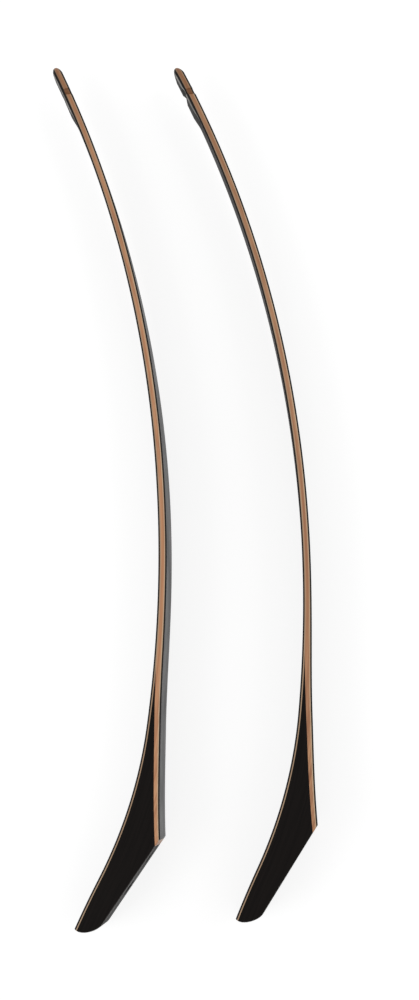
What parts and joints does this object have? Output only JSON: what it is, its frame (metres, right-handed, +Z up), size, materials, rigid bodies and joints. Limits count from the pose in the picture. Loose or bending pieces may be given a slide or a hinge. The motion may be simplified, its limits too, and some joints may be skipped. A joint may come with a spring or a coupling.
{
  "type": "take-down bow limb pair",
  "caption": "Pair of laminated take-down bow limbs: curved wood and black glass blades with wedge butts, ground bolt-on pads and grooved, overlaid string tips.",
  "frame": {"origin": "middle of the pair's bounding box, on the surface that the limbs lie on", "axes": "+Y from the butts towards the tips, +X from back to belly, +Z up, across the limbs' width"},
  "size_m": [0.1894, 0.6178, 0.038],
  "materials": {
    "facing_glass": "black glass-fibre laminate under a clear gloss finish",
    "light_veneer": "thin light veneer, clear satin finish",
    "brown_core": "brown core wood with streaks along the limb, clear satin finish",
    "black_wedge": "black-dyed hardwood, satin",
    "tip_overlay": "black phenolic, sanded and satin"
  },
  "bodies": {
    "upper_limb": {"upper_back_glass": "facing_glass", "upper_back_veneer": "light_veneer", "upper_butt_wedge": "black_wedge", "upper_core_lamination": "brown_core", "upper_belly_veneer": "light_veneer", "upper_belly_glass": "facing_glass", "upper_tip_overlay": "tip_overlay"},
    "lower_limb": {"lower_back_glass": "facing_glass", "lower_back_veneer": "light_veneer", "lower_butt_wedge": "black_wedge", "lower_core_lamination": "brown_core", "lower_belly_veneer": "light_veneer", "lower_belly_glass": "facing_glass", "lower_tip_overlay": "tip_overlay"}
  },
  "joints": [
    {"name": "lower_limb_lift", "type": "slide", "parent": "upper_limb", "child": "lower_limb", "axis": [0, 0, 1], "range_m": [0, 0.12]}
  ]
}
